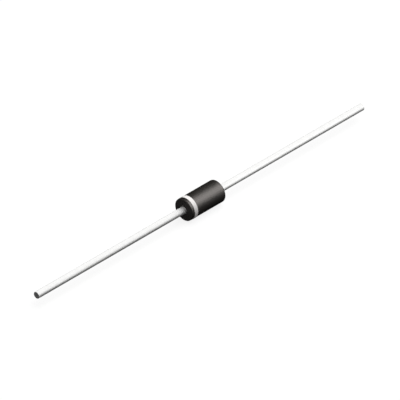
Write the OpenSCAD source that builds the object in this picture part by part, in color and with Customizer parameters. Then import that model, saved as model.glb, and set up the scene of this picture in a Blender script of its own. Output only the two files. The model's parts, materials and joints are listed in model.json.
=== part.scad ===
// Axial-lead zener diode in a moulded cylindrical package, with straight leads.
// The leads lie along X, the cathode is at -X and the origin is the centre of the body.

/* [Body] */
// Diameter of the moulded body
body_d = 2.7; // [2.4:0.05:3.2]
// Length of the moulded body
body_l = 5.2; // [4.4:0.1:7]
// Radius of the round at each end of the body
body_edge = 0.08; // [0.04:0.01:0.2]

/* [Cathode band] */
// Distance from the cathode end of the body to the band
band_gap = 0.38; // [0.2:0.02:0.8]
// Width of the printed band
band_w = 0.52; // [0.3:0.02:1]
// Thickness of the ink film
band_t = 0.02; // [0.02:0.005:0.04]

/* [Leads] */
// Diameter of the lead wire
lead_d = 0.84; // [0.7:0.02:0.9]
// Length of each lead outside the body
lead_l = 22.8; // [10:0.2:30]
// Edge break round the cut end of a lead
tip_break = 0.04; // [0.02:0.01:0.08]
// Swell of the shank radius between the body's end and the neck
shank_swell = 0.07; // [0.04:0.01:0.1]
// Length of the conical neck under the head
neck_l = 0.22; // [0.16:0.02:0.3]
// Growth of the radius along the neck
neck_flare = 0.14; // [0.1:0.01:0.18]
// Diameter of the upset head that carries the die
head_d = 1.7; // [1.6:0.05:1.9]
// Thickness of the upset head, whose rim is a full round
head_t = 0.3; // [0.24:0.02:0.36]

/* [Die] */
// Side of the square silicon die
die_w = 0.9; // [0.7:0.05:0.95]
// Thickness of the die
die_t = 0.26; // [0.2:0.02:0.32]
// Width of the bevel etched round the junction, on the anode side
mesa_bevel = 0.08; // [0.04:0.01:0.12]
// Depth of that bevel
mesa_depth = 0.1; // [0.06:0.01:0.14]

/* [Joints round the die] */
// Thickness of each solder joint
solder_t = 0.06; // [0.04:0.01:0.1]
// Margin of the head's flat left bare round the solder
solder_margin = 0.04; // [0.02:0.01:0.06]
// Bulge of the silicone coating past the flat of the heads
coat_bulge = 0.1; // [0.06:0.01:0.14]

/* [Hidden] */
$fn = 64;
// A layer that only gives hull() an end face
skin = 0.001;

body_r = body_d / 2;
body_end = body_l / 2;
lead_r = lead_d / 2;
lead_tip = body_end + lead_l;
// Along the axis from the centre: contact face of a head, its back, and the small end of the neck
head_face = die_t / 2 + solder_t;
head_back = head_face + head_t;
neck_end = head_back + neck_l;
rim_r = head_t / 2;
head_flat_r = head_d / 2 - rim_r;
shank_r = lead_r + shank_swell;
neck_r = min(shank_r + neck_flare, head_flat_r);
mesa_w = die_w - 2 * mesa_bevel;
// The coating's edge is an arc through the rims of both heads' flats
coat_arc_r = (head_face ^ 2 + coat_bulge ^ 2) / (2 * coat_bulge);
coat_arc_at = head_flat_r + coat_bulge - coat_arc_r;

// Revolves a profile about X: its x is the radius and its y runs along the leads
module turned() {
  rotate([0, 90, 0]) rotate_extrude() children();
}

// Turns a lead's or joint's anode-side form to the cathode side
module to_cathode() {
  mirror([1, 0, 0]) children();
}

// Stands a form that is drawn upwards along +X
module along_x() {
  rotate([0, 90, 0]) children();
}

// Half section of the body's outside
module body_outline() {
  translate([0, -body_end]) square([body_r - body_edge, body_l]);
  translate([0, body_edge - body_end]) square([body_r, body_l - 2 * body_edge]);
  for (side = [-1, 1])
    translate([body_r - body_edge, side * (body_end - body_edge)]) circle(body_edge);
}

// Half section of a lead: upset head, neck, swelling shank, wire and cut end
module lead_outline() {
  translate([head_flat_r, head_face + rim_r]) circle(rim_r);
  polygon([
    [0, head_face],
    [head_flat_r, head_face],
    [head_flat_r, head_back],
    [neck_r, head_back],
    [shank_r, neck_end],
    [lead_r, body_end],
    [lead_r, lead_tip - tip_break],
    [lead_r - tip_break, lead_tip],
    [0, lead_tip]
  ]);
}

// Half section of the bead of coating between the two heads
module coat_outline() {
  translate([0, -head_face]) square([head_flat_r, 2 * head_face]);
  intersection() {
    translate([coat_arc_at, 0]) circle(coat_arc_r);
    translate([0, -head_face]) square([body_r, 2 * head_face]);
  }
}

// Solder from a square contact on the die out to a round wetted patch on the head
module solder_joint(contact_w) {
  along_x() hull() {
    translate([0, 0, die_t / 2]) linear_extrude(skin) square(contact_w, center = true);
    translate([0, 0, head_face - skin]) linear_extrude(skin) circle(head_flat_r - solder_margin, $fn = 32);
  }
}

// Epoxy moulded round the heads, the shanks and the coating
module body() {
  color([0.09, 0.09, 0.09]) turned() difference() {
    body_outline();
    lead_outline();
    mirror([0, 1]) lead_outline();
    coat_outline();
  }
}

// White ink rolled round the cathode end
module cathode_band() {
  color([0.95, 0.95, 0.94]) turned() translate([0, band_gap - body_end]) polygon([
    [body_r, 0],
    [body_r + band_t, band_t],
    [body_r + band_t, band_w - band_t],
    [body_r, band_w]
  ]);
}

module anode_lead() {
  color([0.8, 0.8, 0.79]) turned() lead_outline();
}

module cathode_lead() {
  color([0.8, 0.8, 0.79]) to_cathode() turned() lead_outline();
}

// Silicon chip with its junction side, the anode side, bevelled
module zener_die() {
  color([0.32, 0.33, 0.36]) along_x() {
    translate([0, 0, -die_t / 2]) linear_extrude(die_t - mesa_depth) square(die_w, center = true);
    translate([0, 0, die_t / 2 - mesa_depth])
      linear_extrude(mesa_depth, scale = mesa_w / die_w) square(die_w, center = true);
  }
}

module anode_solder() {
  color([0.6, 0.6, 0.62]) solder_joint(mesa_w);
}

module cathode_solder() {
  color([0.6, 0.6, 0.62]) to_cathode() solder_joint(die_w);
}

// Silicone bead that seals the edge of the die
module junction_coating() {
  color([0.85, 0.86, 0.84]) difference() {
    turned() coat_outline();
    zener_die();
    anode_solder();
    cathode_solder();
  }
}

body();
cathode_band();
cathode_lead();
anode_lead();
zener_die();
cathode_solder();
anode_solder();
junction_coating();
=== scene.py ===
"""Dresses the axial zener diode: a moulded black body, a white cathode band and two tinned leads.

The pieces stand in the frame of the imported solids. Lengths are in millimetres, as in the part's
source, and become metres where a mesh or a texture is made.
"""
import json
import math

import bmesh
import bpy
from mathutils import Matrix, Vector, noise


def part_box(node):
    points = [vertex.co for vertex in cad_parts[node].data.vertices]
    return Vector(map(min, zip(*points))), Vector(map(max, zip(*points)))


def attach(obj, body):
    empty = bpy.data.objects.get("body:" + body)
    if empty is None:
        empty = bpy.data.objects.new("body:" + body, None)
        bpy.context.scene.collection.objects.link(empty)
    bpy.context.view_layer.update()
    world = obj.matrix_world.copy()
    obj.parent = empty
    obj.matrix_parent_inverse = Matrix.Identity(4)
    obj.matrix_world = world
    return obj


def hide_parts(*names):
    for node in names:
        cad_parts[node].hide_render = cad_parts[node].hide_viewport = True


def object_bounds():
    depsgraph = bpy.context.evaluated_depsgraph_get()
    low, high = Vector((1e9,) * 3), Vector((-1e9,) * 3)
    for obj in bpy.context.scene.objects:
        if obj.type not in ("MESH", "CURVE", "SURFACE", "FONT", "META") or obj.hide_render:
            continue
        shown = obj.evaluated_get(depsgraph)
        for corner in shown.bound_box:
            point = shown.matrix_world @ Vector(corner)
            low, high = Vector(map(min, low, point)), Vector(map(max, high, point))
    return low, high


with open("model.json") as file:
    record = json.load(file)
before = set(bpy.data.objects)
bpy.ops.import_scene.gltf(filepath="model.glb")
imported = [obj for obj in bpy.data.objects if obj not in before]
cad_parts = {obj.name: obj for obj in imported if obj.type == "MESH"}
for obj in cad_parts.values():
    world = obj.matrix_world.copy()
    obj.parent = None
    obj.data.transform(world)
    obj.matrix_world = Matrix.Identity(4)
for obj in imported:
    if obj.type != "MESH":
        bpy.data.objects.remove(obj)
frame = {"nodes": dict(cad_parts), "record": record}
solid_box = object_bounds()

MM = 0.001


def span(node):
    """Lowest and highest corner of a solid, to a thousandth."""
    return [[round(c / MM, 3) for c in corner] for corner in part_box(node)]


def pin_radius(name):
    """Radius of a pin mount in the record."""
    return next(mount["dims"]["r_mm"] for mount in frame["record"]["mounts"] if mount["name"] == name)


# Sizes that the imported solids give
_, (BODY_END, _, BODY_R) = span("body")
(BAND_START, _, _), (BAND_END, _, BAND_R) = span("cathode_band")
(HEAD_FACE, _, _), (LEAD_TIP, _, _) = span("anode_lead")
LEAD_R = pin_radius("anode_lead")

# Round at each end of the body, and edge break round the cut end of a lead
BODY_EDGE = 0.08
TIP_BREAK = 0.04

# A lead inside the body: its upset head, the neck under it and the shank
HEAD_BACK = 0.49
HEAD_FLAT_R = 0.7
HEAD_RIM_R = 0.15
NECK_R = 0.63
NECK_END = 0.71
SHANK_R = 0.49

# Bulge of the coating past the flats of the two heads
COAT_BULGE = 0.1

# Angles run about X, from +Y towards +Z, in degrees. The mould parted on the plane through PARTING.
# The flash there varies FLASH_WAVES times a millimetre, up and down by FLASH_BREAKS of its height.
PARTING = 45
FLASH_H = 0.012
FLASH_W = 0.03
FLASH_WAVES = 3
FLASH_BREAKS = 0.35

# The edges of the band's film: how far they wander, how many slow swings and finer nicks they make in
# a radius, what sets the swings of the two edges apart, how fast the wander dies out inwards, and how
# the film rises from its edges, as (place, share of thickness)
INK_WANDER = 0.014
INK_SWINGS = 3
INK_NICKS = 9
INK_SEED = 7
INK_CALM = 4
INK_RISE = ((0, 0), (0.008, 0.3), (0.02, 0.6), (0.04, 0.85), (0.07, 1))
# How uneven the film is, how many lumps it has in a millimetre along X and in a radius along Y and Z,
# and how deep its back sits in the body
INK_UNEVEN = 0.002
INK_LUMPS = (4, 5, 5)
INK_SUNK = 0.01

# The cut end of a lead: the blade, coming from CUT_TURN, rolled one edge over by CUT_ROLL and tore the
# far side up to CUT_TEAR deep, in CUT_GRAINS grains a millimetre, which CUT_SEED picks. The last three
# are places across the end, from -1 at the far edge to 1 at the rolled one.
CUT_TURN = 60
CUT_ROLL = 0.015
CUT_TEAR = 0.006
CUT_GRAINS = 9
CUT_SEED = 2
ROLL_FROM = 0.3
TEAR_FROM = 0.1
TEAR_FULL = -0.2

# Divisions of the meshes
BODY_TURNS = 160
LEAD_TURNS = 96
SIDE_STEPS = 30
ROUND_STEPS = 8
FACE_STEPS = 14
RIM_STEPS = 12
BEAD_STEPS = 10
BAND_STEPS = 10
HEAD_STEPS = 6
WIRE_STEPS = 60
BREAK_STEPS = 6
CUT_STEPS = 8
# Extra turns each side of a parting line, in degrees
FINE_TURNS = (0.35, 0.7, 1.1, 1.6, 2.2, 3)
# Rings that keep the shading of the wire straight next to the body and to the cut end
WIRE_START = 0.05
WIRE_STOPS = (0.2, 0.1)
# Edges that turn more than this, in degrees, stay sharp
SHARP = 38


# Meshes

def arc(centre, radius, start, end, steps):
    """Points (x, r) on an arc, both ends included."""
    turns = [math.radians(start + (end - start) * k / steps) for k in range(steps + 1)]
    return [(centre[0] + radius * math.cos(t), centre[1] + radius * math.sin(t)) for t in turns]


def between(start, end, steps):
    """Points from start to end, without the two ends."""
    return [
        tuple(a + (b - a) * k / steps for a, b in zip(start, end))
        for k in range(1, steps)
    ]


def mirrored(points):
    """The same points on the cathode side, in order along X."""
    return [(-x, r) for x, r in reversed(points)]


def even_turns(count):
    """Angles that split a full turn evenly."""
    return [360 * k / count for k in range(count)]


def on_axis(x, r, turn):
    """The point at x, r from the axis and turned about it."""
    t = math.radians(turn)
    return (x, r * math.cos(t), r * math.sin(t))


def lathe(name, profile, turns, place, closed):
    """Revolves (x, r) points about X. place(x, r, turn) gives a point's final x, y, z."""
    mesh = bmesh.new()
    rings = []
    for x, r in profile:
        if r:
            rings.append([mesh.verts.new(place(x, r, t)) for t in turns])
        else:
            rings.append([mesh.verts.new(place(x, 0, 0))])
    pairs = list(zip(rings, rings[1:]))
    if closed:
        pairs.append((rings[-1], rings[0]))
    for near, far in pairs:
        join_rings(mesh, near, far, len(turns))
    bmesh.ops.recalc_face_normals(mesh, faces=mesh.faces)
    bmesh.ops.scale(mesh, vec=(MM, MM, MM), verts=mesh.verts)
    return finished(name, mesh)


def join_rings(mesh, near, far, count):
    """Faces between two rings, or between a ring and a point on the axis."""
    for k in range(count):
        after = (k + 1) % count
        on_near = [near[k % len(near)], near[after % len(near)]]
        on_far = [far[after % len(far)], far[k % len(far)]]
        mesh.faces.new(list(dict.fromkeys(on_near + on_far)))


def finished(name, mesh):
    """Turns a bmesh into a smooth-shaded object with its real corners kept sharp."""
    data = bpy.data.meshes.new(name)
    mesh.to_mesh(data)
    mesh.free()
    data.shade_smooth()
    data.set_sharp_from_angle(angle=math.radians(SHARP))
    piece = bpy.data.objects.new(name, data)
    bpy.context.collection.objects.link(piece)
    return piece


def vertex_values(piece, name, value_at):
    """Stores value_at(x, y, z) as a number on each vertex, for the materials."""
    layer = piece.data.attributes.new(name, "FLOAT", "POINT")
    for vertex, entry in zip(piece.data.vertices, layer.data):
        entry.value = value_at(*(c / MM for c in vertex.co))


# The moulded body

def body_turns():
    """Even turns, with more of them across the two parting lines."""
    fine = [side * turn for turn in FINE_TURNS for side in (-1, 1)]
    extra = [(PARTING + half + turn) % 360 for half in (0, 180) for turn in fine]
    return sorted(set(even_turns(BODY_TURNS)) | set(extra))


def flash(x, turn):
    """Height of the flash left on the parting line, lower where it was tumbled off."""
    off_line = (turn - PARTING + 90) % 180 - 90
    across = math.radians(off_line) * BODY_R / FLASH_W
    left = 1 - FLASH_BREAKS + FLASH_BREAKS * noise.noise(Vector((FLASH_WAVES * x, turn // 180, 0)))
    return FLASH_H * left * math.exp(-across * across)


def body_normal(x, r):
    """Outward direction (x, r) of the body's outside; zero on the walls of its cavity."""
    flat_end = BODY_END - BODY_EDGE
    out = Vector((x - max(-flat_end, min(x, flat_end)), r - min(r, BODY_R - BODY_EDGE)))
    return out.normalized()


def place_on_body(x, r, turn):
    """Raises the flash on the body's outside."""
    out = body_normal(x, r) * flash(x, turn)
    return on_axis(x + out.x, r + out.y, turn)


def half_outside():
    """The body's outside from beside its middle to the lead's hole in the anode end."""
    corner = (BODY_END - BODY_EDGE, BODY_R - BODY_EDGE)
    hole = (BODY_END, LEAD_R)
    return (
        between((0, BODY_R), (corner[0], BODY_R), SIDE_STEPS)
        + arc(corner, BODY_EDGE, 90, 0, ROUND_STEPS)
        + between((BODY_END, corner[1]), hole, FACE_STEPS)
        + [hole]
    )


def half_cavity():
    """The body's wall round the anode lead's shank, neck and head."""
    rim = (HEAD_BACK - HEAD_RIM_R, HEAD_FLAT_R)
    return [(NECK_END, SHANK_R), (HEAD_BACK, NECK_R)] + arc(rim, HEAD_RIM_R, 0, 180, RIM_STEPS)


def bead():
    """The body's wall round the coating, an arc through the rims of both heads' flats."""
    radius = (HEAD_FACE ** 2 + COAT_BULGE ** 2) / (2 * COAT_BULGE)
    centre = (0, HEAD_FLAT_R + COAT_BULGE - radius)
    turn = math.degrees(math.acos(HEAD_FACE / radius))
    return arc(centre, radius, turn, 180 - turn, BEAD_STEPS)[1:-1]


def body_profile():
    """Outside from the cathode end to the anode end, then back along the cavity."""
    outside = mirrored(half_outside()) + [(0, BODY_R)] + half_outside()
    return outside + half_cavity() + bead() + mirrored(half_cavity())


def edge_wear_and_highlight(x, y, z):
    """1 on the rounds at the body's ends, where tumbling polished them and where a highlight is painted,
    and 0 elsewhere.
    """
    out = body_normal(x, math.hypot(y, z))
    return 1 - abs(out.x ** 2 - out.y ** 2) if out.length else 0


def end_face(x, y, z):
    """1 on the body's flat ends and 0 on its sides, changing over the rounds between them."""
    return body_normal(x, math.hypot(y, z)).x ** 2


def make_body():
    """The body, with the values that its material reads."""
    body = lathe("moulded_body", body_profile(), body_turns(), place_on_body, closed=True)
    vertex_values(body, "edge_wear_and_highlight", edge_wear_and_highlight)
    vertex_values(body, "end_face", end_face)
    return body


# The printed band

def band_profile():
    """Section of the ink film, thinning out at both edges, with its back sunk into the body."""
    film = BAND_R - BODY_R
    left = [(BAND_START + x, BODY_R + film * share) for x, share in INK_RISE]
    right = [(BAND_END - x, BODY_R + film * share) for x, share in reversed(INK_RISE)]
    back = [(BAND_END, BODY_R - INK_SUNK), (BAND_START, BODY_R - INK_SUNK)]
    return left + between(left[-1], right[0], BAND_STEPS) + right + back


def ink_wander(y, z, side):
    """How far one edge of the band strays as a printing wheel leaves it: a swing and finer nicks."""
    swing = noise.noise(Vector((INK_SWINGS * y, INK_SWINGS * z, INK_SEED * side)))
    nicks = noise.noise(Vector((INK_NICKS * y, INK_NICKS * z, side)))
    return INK_WANDER * (swing + nicks / 2)


def place_on_band(x, r, turn):
    """Lays the film over the flash, makes it uneven and lets its edges wander."""
    _, y, z = on_axis(0, 1, turn)
    middle = (BAND_START + BAND_END) / 2
    side = 1 if x > middle else -1
    at_edge = (abs(x - middle) / (BAND_END - middle)) ** INK_CALM
    lumps = noise.noise(Vector(INK_LUMPS) * Vector((x, y, z)))
    lift = flash(x, turn) + INK_UNEVEN * lumps
    if r <= BODY_R:
        lift = 0
    return on_axis(x + ink_wander(y, z, side) * at_edge, r + lift, turn)


def ink_cover(x, y, z):
    """How fully the ink hides the body: least along the band's two thin edges."""
    film = (math.hypot(y, z) - BODY_R) / (BAND_R - BODY_R)
    return max(0, min(1, film))


def make_band():
    """The ink film, with the values that its material reads."""
    band = lathe("ink_band", band_profile(), body_turns(), place_on_band, closed=True)
    vertex_values(band, "ink_cover", ink_cover)
    return band


# The leads

def lead_profile():
    """From the middle of the head's contact face to the middle of the cut end."""
    rim = arc((HEAD_BACK - HEAD_RIM_R, HEAD_FLAT_R), HEAD_RIM_R, 180, 0, RIM_STEPS)
    stops = [(LEAD_TIP - stop, LEAD_R) for stop in WIRE_STOPS]
    return (
        [(HEAD_FACE, 0)]
        + between((HEAD_FACE, 0), rim[0], HEAD_STEPS)
        + rim
        + [(HEAD_BACK, NECK_R), (NECK_END, SHANK_R), (BODY_END, LEAD_R), (BODY_END + WIRE_START, LEAD_R)]
        + between((BODY_END, LEAD_R), stops[0], WIRE_STEPS)
        + stops
        + arc((LEAD_TIP - TIP_BREAK, LEAD_R - TIP_BREAK), TIP_BREAK, 90, 0, BREAK_STEPS)
        + between((LEAD_TIP, LEAD_R - TIP_BREAK), (LEAD_TIP, 0), CUT_STEPS)
        + [(LEAD_TIP, 0)]
    )


def cut_depth(y, z):
    """How far the cut end lies below its highest part: rolled over on one side, torn on the other."""
    t = math.radians(CUT_TURN)
    along = (y * math.cos(t) + z * math.sin(t)) / LEAD_R
    rolled = max(0, (along - ROLL_FROM) / (1 - ROLL_FROM))
    torn = max(0, min(1, (TEAR_FROM - along) / (TEAR_FROM - TEAR_FULL)))
    rough = (1 + noise.noise(Vector((CUT_GRAINS * y, CUT_GRAINS * z, CUT_SEED)))) / 2
    return CUT_ROLL * rolled * rolled + CUT_TEAR * torn * rough


def place_on_lead(side):
    """Puts a lead on the cathode side, -1, or the anode side, 1, and shears its end."""
    def place(x, r, turn):
        _, y, z = on_axis(0, r, turn)
        if x > LEAD_TIP - TIP_BREAK:
            share = (x - LEAD_TIP + TIP_BREAK) / TIP_BREAK
            x -= share * cut_depth(y, z)
        return (side * x, y, z)
    return place


def sheared(x, y, z):
    """1 on the cut end of a lead and 0 along the wire, changing over the edge break between them."""
    if abs(x) < LEAD_TIP - 2 * TIP_BREAK:
        return 0
    return min(1, (LEAD_R - math.hypot(y, z)) / TIP_BREAK)


def make_lead(name, side):
    """The lead on one side, with the values that its material reads."""
    lead = lathe(name, lead_profile(), even_turns(LEAD_TURNS), place_on_lead(side), closed=False)
    vertex_values(lead, "sheared", sheared)
    return lead


# Materials

# Colours, each from its darker to its lighter shade
EPOXY = ((0.0078, 0.0071, 0.006), (0.0106, 0.0097, 0.008))
# The rounds' colour, lighter than the epoxy: partly wear, partly a painted highlight along the body's
# edges
WORN_AND_HIGHLIT_EPOXY = ((0.018, 0.017, 0.0155), (0.04, 0.038, 0.035))
INK = ((0.865, 0.842, 0.828), (0.935, 0.912, 0.9))
THIN_INK = ((0.3, 0.295, 0.29), (0.6, 0.595, 0.585))
TIN = ((0.92, 0.92, 0.912), (0.965, 0.965, 0.96))
CUT_TIN = ((0.28, 0.28, 0.28), (0.42, 0.42, 0.415))
SILICON = ((0.1, 0.105, 0.12), (0.19, 0.195, 0.215))
SOLDER = ((0.4, 0.4, 0.41), (0.62, 0.62, 0.63))
SILICONE = ((0.72, 0.73, 0.7), (0.85, 0.86, 0.84))
# The epoxy's gloss is a little warm, the ink has next to none, and silicon is half a metal
EPOXY_GLOSS = (1, 0.935, 0.9, 1)
INK_GLOSS = 0.12
SILICON_METALLIC = 0.5

# How far wear and a painted edge highlight show at most on the body's rounds
WEAR_AND_HIGHLIGHT = 0.6
# How many times longer than wide these are: lines along the drawn wire, scores that the blade left on
# its cut end, and saw lines on the die
DRAWN_LENGTH = 25
SCORE_LENGTH = 5
SAW_LENGTH = 8

# Roughness, from the smoother to the rougher places
EPOXY_SIDES = (0.49, 0.55)
EPOXY_ENDS = (0.8, 0.9)
INK_ROUGH = (0.5, 0.65)
TIN_ROUGH = (0.46, 0.56)
SILICON_ROUGH = (0.22, 0.4)
SOLDER_ROUGH = (0.38, 0.6)
SILICONE_ROUGH = (0.28, 0.42)


def start_material(name):
    """A new material, its tree and its shader."""
    material = bpy.data.materials.new(name)
    material.use_nodes = True
    return material, material.node_tree, material.node_tree.nodes["Principled BSDF"]


def position(tree, stretch=(1, 1, 1), turn=0):
    """Place on the part in millimetres, for a texture drawn out by stretch along axes turned about X."""
    coords = tree.nodes.new("ShaderNodeTexCoord")
    mapping = tree.nodes.new("ShaderNodeMapping")
    mapping.vector_type = "TEXTURE"
    mapping.inputs["Rotation"].default_value = (math.radians(turn), 0, 0)
    mapping.inputs["Scale"].default_value = [MM * s for s in stretch]
    tree.links.new(coords.outputs["Object"], mapping.inputs["Vector"])
    return mapping.outputs["Vector"]


def grain(tree, where, size, detail):
    """Noise with features about size across."""
    texture = tree.nodes.new("ShaderNodeTexNoise")
    texture.inputs["Scale"].default_value = 1 / size
    texture.inputs["Detail"].default_value = detail
    tree.links.new(where, texture.inputs["Vector"])
    return texture.outputs["Fac"]


def stored(tree, name):
    """A value stored on the vertices."""
    attribute = tree.nodes.new("ShaderNodeAttribute")
    attribute.attribute_name = name
    return attribute.outputs["Fac"]


def shades(tree, value, colours, start=0.3, end=0.7):
    """Colour that goes from the first to the second as value goes from start to end."""
    ramp = tree.nodes.new("ShaderNodeValToRGB")
    for point, place, colour in zip(ramp.color_ramp.elements, (start, end), colours):
        point.position = place
        point.color = (*colour, 1)
    tree.links.new(value, ramp.inputs["Fac"])
    return ramp.outputs["Color"]


def levels(tree, value, numbers, start=0.3, end=0.7):
    """Number that goes from the first to the second as value goes from start to end."""
    node = tree.nodes.new("ShaderNodeMapRange")
    for socket, number in zip(("From Min", "From Max", "To Min", "To Max"), (start, end, *numbers)):
        node.inputs[socket].default_value = number
    tree.links.new(value, node.inputs["Value"])
    return node.outputs["Result"]


def over(tree, amount, under, top):
    """The colour or number top laid over the one under it where amount is 1."""
    mix = tree.nodes.new("ShaderNodeMixRGB")
    tree.links.new(amount, mix.inputs["Fac"])
    tree.links.new(under, mix.inputs["Color1"])
    tree.links.new(top, mix.inputs["Color2"])
    return mix.outputs["Color"]


def surface(tree, shader, colour, roughness, height, depth):
    """Links a surface's colour and roughness, and its relief, depth from lowest to highest."""
    bump = tree.nodes.new("ShaderNodeBump")
    bump.inputs["Distance"].default_value = depth * MM
    tree.links.new(height, bump.inputs["Height"])
    tree.links.new(bump.outputs["Normal"], shader.inputs["Normal"])
    tree.links.new(colour, shader.inputs["Base Color"])
    tree.links.new(roughness, shader.inputs["Roughness"])


def epoxy():
    """Black moulding compound: satin, duller on its ends, faintly mottled, worn and with a painted
    highlight on its rounds.
    """
    material, tree, shader = start_material("epoxy")
    mottle = grain(tree, position(tree), size=0.6, detail=4)
    filler = grain(tree, position(tree), size=0.05, detail=3)
    # Lighter on the rounds: partly wear, partly a painted edge highlight
    wear_and_highlight = levels(tree, stored(tree, "edge_wear_and_highlight"), (0, WEAR_AND_HIGHLIGHT), start=0.2, end=1)
    colour = over(tree, wear_and_highlight, shades(tree, mottle, EPOXY), shades(tree, filler, WORN_AND_HIGHLIT_EPOXY))
    sides = levels(tree, filler, EPOXY_SIDES)
    ends = levels(tree, filler, EPOXY_ENDS)
    roughness = over(tree, stored(tree, "end_face"), sides, ends)
    surface(tree, shader, colour, roughness, filler, depth=0.003)
    shader.inputs["Specular Tint"].default_value = EPOXY_GLOSS
    return material


def ink():
    """White marking ink: matt, slightly uneven, letting the black show at its thin edges."""
    material, tree, shader = start_material("band_ink")
    clouds = grain(tree, position(tree), size=0.35, detail=3)
    tooth = grain(tree, position(tree), size=0.04, detail=2)
    cover = levels(tree, stored(tree, "ink_cover"), (0, 1), start=0.1, end=0.7)
    colour = over(tree, cover, shades(tree, tooth, THIN_INK), shades(tree, clouds, INK))
    surface(tree, shader, colour, levels(tree, tooth, INK_ROUGH), tooth, depth=0.002)
    shader.inputs["Specular IOR Level"].default_value = INK_GLOSS
    return material


def tinned_wire():
    """Tin plate: satin, with fine lines along the drawn wire, and dull and scored on the cut end."""
    material, tree, shader = start_material("tinned_wire")
    along_wire = position(tree, stretch=(DRAWN_LENGTH, 1, 1))
    along_blade = position(tree, stretch=(1, SCORE_LENGTH, 1), turn=CUT_TURN)
    clouds = grain(tree, position(tree), size=0.5, detail=4)
    drawn = grain(tree, along_wire, size=0.035, detail=2)
    scores = grain(tree, along_blade, size=0.05, detail=3)
    cut = levels(tree, stored(tree, "sheared"), (0, 1), start=0.3, end=0.6)
    colour = over(tree, cut, shades(tree, clouds, TIN), shades(tree, scores, CUT_TIN))
    marks = over(tree, cut, drawn, scores)
    surface(tree, shader, colour, levels(tree, marks, TIN_ROUGH), marks, depth=0.0005)
    shader.inputs["Metallic"].default_value = 1
    return material


def silicon():
    """The die: dark blue-grey, with the faint lines of sawing and etching."""
    material, tree, shader = start_material("silicon")
    across_lead = position(tree, stretch=(1, SAW_LENGTH, SAW_LENGTH))
    lines = grain(tree, across_lead, size=0.02, detail=2)
    colour = shades(tree, lines, SILICON)
    surface(tree, shader, colour, levels(tree, lines, SILICON_ROUGH), lines, depth=0.0008)
    shader.inputs["Metallic"].default_value = SILICON_METALLIC
    return material


def solder():
    """High-lead solder: dull grey and grainy where it froze."""
    material, tree, shader = start_material("solder")
    frozen = grain(tree, position(tree), size=0.08, detail=4)
    colour = shades(tree, frozen, SOLDER)
    surface(tree, shader, colour, levels(tree, frozen, SOLDER_ROUGH), frozen, depth=0.003)
    shader.inputs["Metallic"].default_value = 1
    return material


def silicone():
    """The coating: milky white, cured with a soft gloss."""
    material, tree, shader = start_material("silicone")
    milky = grain(tree, position(tree), size=0.2, detail=3)
    colour = shades(tree, milky, SILICONE)
    surface(tree, shader, colour, levels(tree, milky, SILICONE_ROUGH), milky, depth=0.004)
    return material


# Studio

CAMERA_AZIMUTH = -45.5
CAMERA_ELEVATION = 34.7
CAMERA_LENS = 1600
SENSOR = 36
VIEW_WIDTH = 43.78
# The body's centre lies this far right of the picture's middle, and this far below it
BODY_RIGHT = 0.035
BODY_BELOW = 0.041
# How far the camera sees, in metres
CLIP_END = 10

# Lamps: how far off they stand and how wide they are, in metres, their directions and powers
LAMP_DISTANCE = 0.5
KEY_FROM = (0.42, -0.1, 0.9)
KEY_SIZE = 0.7
KEY_POWER = 4.5
SHEEN_SIZE = 0.5
FRONT_SHEEN_FROM = (0.577, -0.468, 0.668)
FRONT_SHEEN_POWER = 6.8
BACK_SHEEN_FROM = (-0.66, 0.51, 0.52)
BACK_SHEEN_POWER = 1.6
LEAD_SHEEN_FROM = (0.586, -0.8, 0.1)
LEAD_SHEEN_POWER = 0.28
# The world's light where it isn't seen
FILL = 0.11

# The tent that the leads reflect: its radius in metres, its splits, and its brightness by height,
# from straight down, -1, to straight up, 1
TENT_R = 0.8
TENT_SPLITS = 4
TENT = ((-1, 0.02), (-0.5, 0.04), (-0.25, 0.15), (0, 0.58), (0.1, 0.88), (0.2, 1.04))

# The floor: how far it reaches each way, its own white, and how much it takes of light and shadow
FLOOR_REACH = 400
FLOOR_WHITE = 0.86
FLOOR_PAPER = 0.16


def direction(azimuth, elevation):
    """Unit vector towards a viewer. Azimuth 0 looks along +Y, with +X to the right."""
    a = math.radians(azimuth)
    e = math.radians(elevation)
    return Vector((math.sin(a) * math.cos(e), -math.cos(a) * math.cos(e), math.sin(e)))


def faced(thing, way):
    """Turns a lamp or the camera, which stands towards way, to face the part."""
    thing.rotation_euler = (-way).to_track_quat("-Z", "Y").to_euler()
    bpy.context.collection.objects.link(thing)


def make_camera():
    """A long lens at the photo's angle."""
    data = bpy.data.cameras.new("camera")
    data.sensor_width = SENSOR
    data.lens = CAMERA_LENS
    data.clip_end = CLIP_END
    camera = bpy.data.objects.new("camera", data)
    back = direction(CAMERA_AZIMUTH, CAMERA_ELEVATION)
    right = direction(CAMERA_AZIMUTH + 90, 0)
    up = back.cross(right)
    distance = VIEW_WIDTH * CAMERA_LENS / SENSOR
    camera.location = (back * distance - right * BODY_RIGHT + up * BODY_BELOW) * MM
    faced(camera, back)
    bpy.context.scene.camera = camera


def softbox(name, towards, size, power):
    """A square lamp that faces the part from the direction towards."""
    data = bpy.data.lights.new(name, "AREA")
    data.size = size
    data.energy = power
    lamp = bpy.data.objects.new(name, data)
    way = Vector(towards).normalized()
    lamp.location = way * LAMP_DISTANCE
    lamp.visible_camera = False
    faced(lamp, way)
    return lamp


def light_only(source, pieces):
    """Keeps the light of a lamp or of the tent to some pieces, and gives their collection."""
    lit = bpy.data.collections.new(source.name + "_receivers")
    for piece in pieces:
        lit.objects.link(piece)
    source.light_linking.receiver_collection = lit
    return lit


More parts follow.
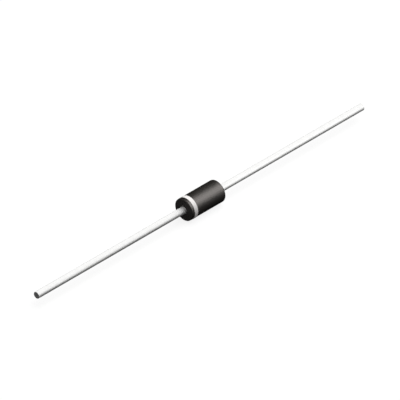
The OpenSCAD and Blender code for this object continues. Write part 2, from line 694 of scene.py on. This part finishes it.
def make_lamps(body, anode_lead):
    """A broad soft key from overhead, and softboxes that only draw highlights along one piece each.

    No other piece shades those highlights.
    """
    key = softbox("key", KEY_FROM, KEY_SIZE, KEY_POWER)
    key.visible_glossy = False
    for name, towards, power, piece in (
        ("front_sheen", FRONT_SHEEN_FROM, FRONT_SHEEN_POWER, body),
        ("back_sheen", BACK_SHEEN_FROM, BACK_SHEEN_POWER, body),
        ("lead_sheen", LEAD_SHEEN_FROM, LEAD_SHEEN_POWER, anode_lead),
    ):
        sheen = softbox(name, towards, SHEEN_SIZE, power)
        sheen.visible_diffuse = False
        sheen.light_linking.blocker_collection = light_only(sheen, [piece])


def stage_material(name):
    """A material with no shader yet: itself, its tree and the socket for its surface."""
    material = bpy.data.materials.new(name)
    material.use_nodes = True
    tree = material.node_tree
    tree.nodes.clear()
    output = tree.nodes.new("ShaderNodeOutputMaterial")
    return material, tree, output.inputs["Surface"]


def tent_material():
    """White overhead, darkening below the level of the part, as a table under a white tent does."""
    material, tree, surface_socket = stage_material("tent")
    coords = tree.nodes.new("ShaderNodeTexCoord")
    split = tree.nodes.new("ShaderNodeSeparateXYZ")
    ramp = tree.nodes.new("ShaderNodeValToRGB")
    glow = tree.nodes.new("ShaderNodeEmission")
    points = ramp.color_ramp.elements
    while len(points) < len(TENT):
        points.new(0.5)
    for point, (height, grey) in zip(points, TENT):
        point.position = (height + 1) / 2
        point.color = (grey, grey, grey, 1)
    tree.links.new(coords.outputs["Generated"], split.inputs["Vector"])
    tree.links.new(split.outputs["Z"], ramp.inputs["Fac"])
    tree.links.new(ramp.outputs["Color"], glow.inputs["Color"])
    tree.links.new(glow.outputs["Emission"], surface_socket)
    return material


def make_tent(leads):
    """A tent round the part that shows only in the leads, and lights and shades nothing else."""
    mesh = bmesh.new()
    bmesh.ops.create_icosphere(mesh, subdivisions=TENT_SPLITS, radius=TENT_R)
    tent = finished("tent", mesh)
    tent.data.materials.append(tent_material())
    tent.visible_camera = False
    tent.visible_diffuse = False
    tent.visible_shadow = False
    light_only(tent, leads)


def floor_material():
    """Near-white paper: mostly its own white, so that the part's shadow on it stays faint."""
    material, tree, surface_socket = stage_material("floor")
    glow = tree.nodes.new("ShaderNodeEmission")
    glow.inputs["Strength"].default_value = FLOOR_WHITE
    paper = tree.nodes.new("ShaderNodeBsdfDiffuse")
    paper.inputs["Color"].default_value = (FLOOR_PAPER, FLOOR_PAPER, FLOOR_PAPER, 1)
    both = tree.nodes.new("ShaderNodeAddShader")
    tree.links.new(glow.outputs["Emission"], both.inputs[0])
    tree.links.new(paper.outputs["BSDF"], both.inputs[1])
    tree.links.new(both.outputs["Shader"], surface_socket)
    return material


def make_floor():
    """A plain white table under the part, kept out of reflections and bounced light."""
    reach = FLOOR_REACH * MM
    level = solid_box[0][2]
    corners = [(x * reach, y * reach, level) for x, y in ((-1, -1), (1, -1), (1, 1), (-1, 1))]
    data = bpy.data.meshes.new("floor")
    data.from_pydata(corners, [], [(0, 1, 2, 3)])
    data.materials.append(floor_material())
    floor = bpy.data.objects.new("floor", data)
    floor.visible_glossy = False
    floor.visible_diffuse = False
    bpy.context.collection.objects.link(floor)


def background(tree, strength):
    """White light from all round."""
    node = tree.nodes.new("ShaderNodeBackground")
    node.inputs["Color"].default_value = (1, 1, 1, 1)
    node.inputs["Strength"].default_value = strength
    return node.outputs["Background"]


def largest(tree, first, second):
    """The larger of two numbers."""
    node = tree.nodes.new("ShaderNodeMath")
    node.operation = "MAXIMUM"
    tree.links.new(first, node.inputs[0])
    tree.links.new(second, node.inputs[1])
    return node.outputs["Value"]


def make_world():
    """White to the camera, in reflections and through glass, and a dim fill otherwise."""
    world = bpy.data.worlds.new("studio")
    world.use_nodes = True
    bpy.context.scene.world = world
    tree = world.node_tree
    tree.nodes.clear()
    path = tree.nodes.new("ShaderNodeLightPath")
    shown = largest(tree, path.outputs["Is Glossy Ray"], path.outputs["Is Transmission Ray"])
    shown = largest(tree, path.outputs["Is Camera Ray"], shown)
    mix = tree.nodes.new("ShaderNodeMixShader")
    tree.links.new(shown, mix.inputs["Fac"])
    tree.links.new(background(tree, FILL), mix.inputs[1])
    tree.links.new(background(tree, 1), mix.inputs[2])
    output = tree.nodes.new("ShaderNodeOutputWorld")
    tree.links.new(mix.outputs["Shader"], output.inputs["Surface"])


# Assembly

def add(piece, node, material):
    """Puts a new piece in the place of a solid."""
    piece.data.materials.append(material)
    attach(piece, "root")
    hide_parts(node)


def dress(node, material):
    """Gives a solid that is shown as packed its finished material."""
    for slot in frame["nodes"][node].material_slots:
        slot.material = material


body = make_body()
add(body, "body", epoxy())
add(make_band(), "cathode_band", ink())
wire = tinned_wire()
cathode_lead = make_lead("cathode_lead_wire", -1)
add(cathode_lead, "cathode_lead", wire)
anode_lead = make_lead("anode_lead_wire", 1)
add(anode_lead, "anode_lead", wire)

joint = solder()
dress("zener_die", silicon())
dress("cathode_solder", joint)
dress("anode_solder", joint)
dress("junction_coating", silicone())

make_camera()
make_lamps(body, anode_lead)
make_tent([cathode_lead, anode_lead])
make_world()
make_floor()
bpy.context.scene.view_settings.view_transform = "Standard"
